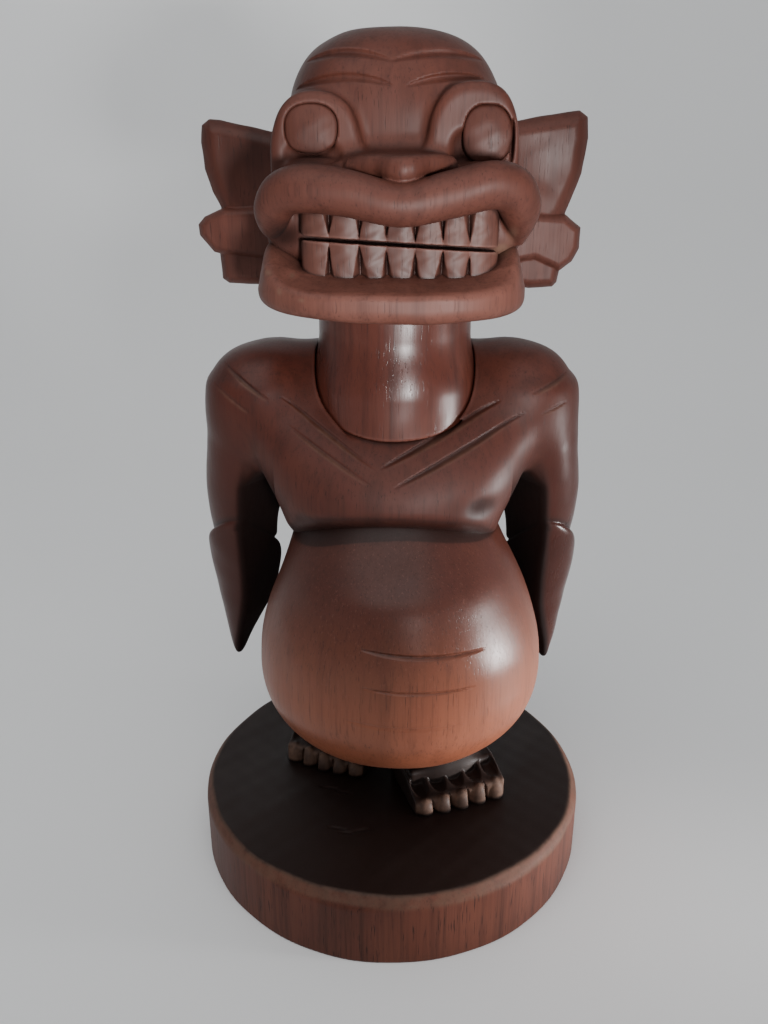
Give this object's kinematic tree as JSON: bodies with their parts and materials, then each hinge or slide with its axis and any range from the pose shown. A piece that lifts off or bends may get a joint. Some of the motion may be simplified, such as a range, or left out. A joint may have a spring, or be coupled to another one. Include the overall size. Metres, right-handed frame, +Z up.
{
  "type": "tiki figure",
  "caption": "Carved wooden grotesque standing figure with a round belly, bared teeth and wide ears, on a round base.",
  "frame": {"origin": "centre of the underside of the round base", "axes": "+Z up through the figure, the figure faces -Y, its left side is +X"},
  "size_m": [0.24, 0.24, 0.4709],
  "materials": {
    "base_wood": "stained and waxed, end grain almost black on top, red brown round the side",
    "dark_wood": "dark stain over end grain, dull",
    "belly_wood": "red brown stain rubbed lighter on the round of the belly, satin",
    "body_wood": "red brown stain, satin",
    "neck_wood": "red brown stain, polished",
    "head_wood": "red brown stain, satin",
    "teeth_wood": "red brown stain, dark in the grooves",
    "dowel_wood": "plain unstained hardwood"
  },
  "bodies": {
    "root": {"base_disc": "base_wood", "left_leg": "dark_wood", "right_leg": "dark_wood", "leg_dowels": "dowel_wood", "belly": "belly_wood", "waist_dowel": "dowel_wood", "chest": "body_wood", "left_arm": "body_wood", "right_arm": "body_wood", "arm_dowels": "dowel_wood", "neck": "neck_wood", "neck_dowel": "dowel_wood", "head": "head_wood", "left_eye": "head_wood", "right_eye": "head_wood", "jaw": "head_wood", "jaw_dowels": "dowel_wood", "upper_teeth": "teeth_wood", "lower_teeth": "teeth_wood", "left_ear": "head_wood", "right_ear": "head_wood"}
  },
  "joints": []
}
